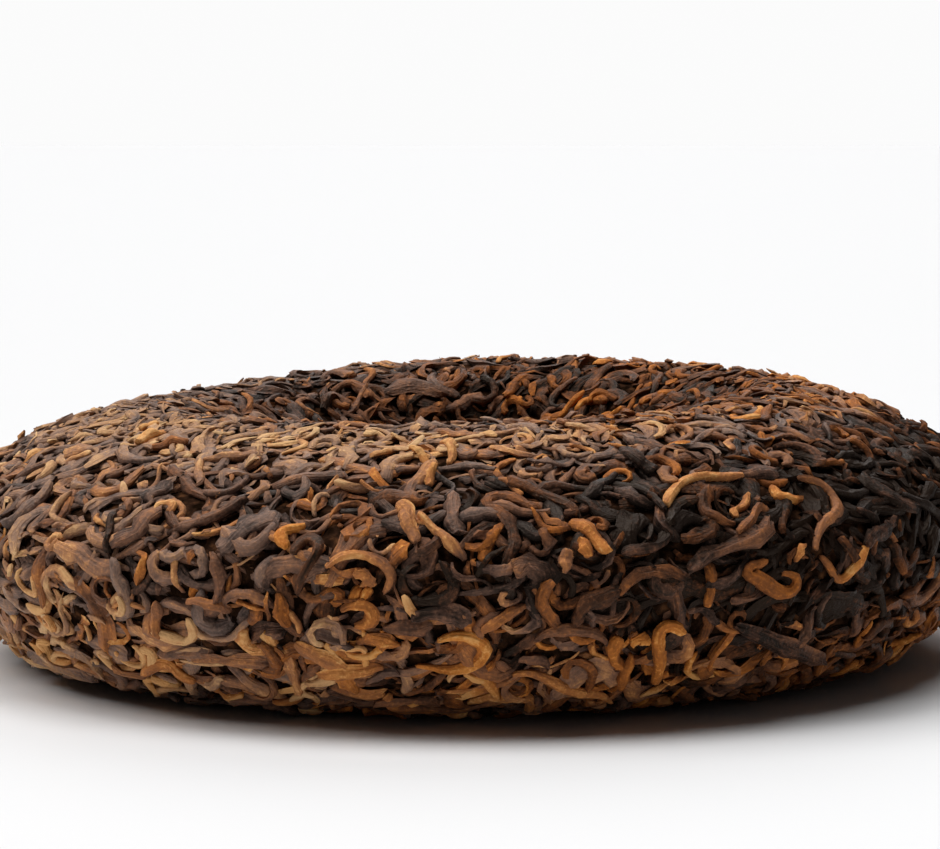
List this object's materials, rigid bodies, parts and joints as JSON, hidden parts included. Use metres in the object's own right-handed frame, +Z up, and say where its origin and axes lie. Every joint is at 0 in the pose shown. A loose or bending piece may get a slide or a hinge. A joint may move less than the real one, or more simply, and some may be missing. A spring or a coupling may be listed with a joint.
{
  "type": "compressed tea cake",
  "caption": "Round pressed disc of dark fermented tea leaves with pale buds, thick rounded rim and a dimple in its top; rests flat.",
  "frame": {"origin": "on the resting plane, under the middle of the disc", "axes": "+Z up, out of the dimpled face; +X towards the slightly thicker side of the rim, which is at the right of the picture; -Y towards the viewer"},
  "size_m": [0.1018, 0.1006, 0.0258],
  "materials": {
    "ripe_tea": "dry fermented tea leaves, dark brown with golden buds, matt with a faint oily sheen"
  },
  "bodies": {
    "root": {"tea_cake": "ripe_tea"}
  },
  "joints": []
}
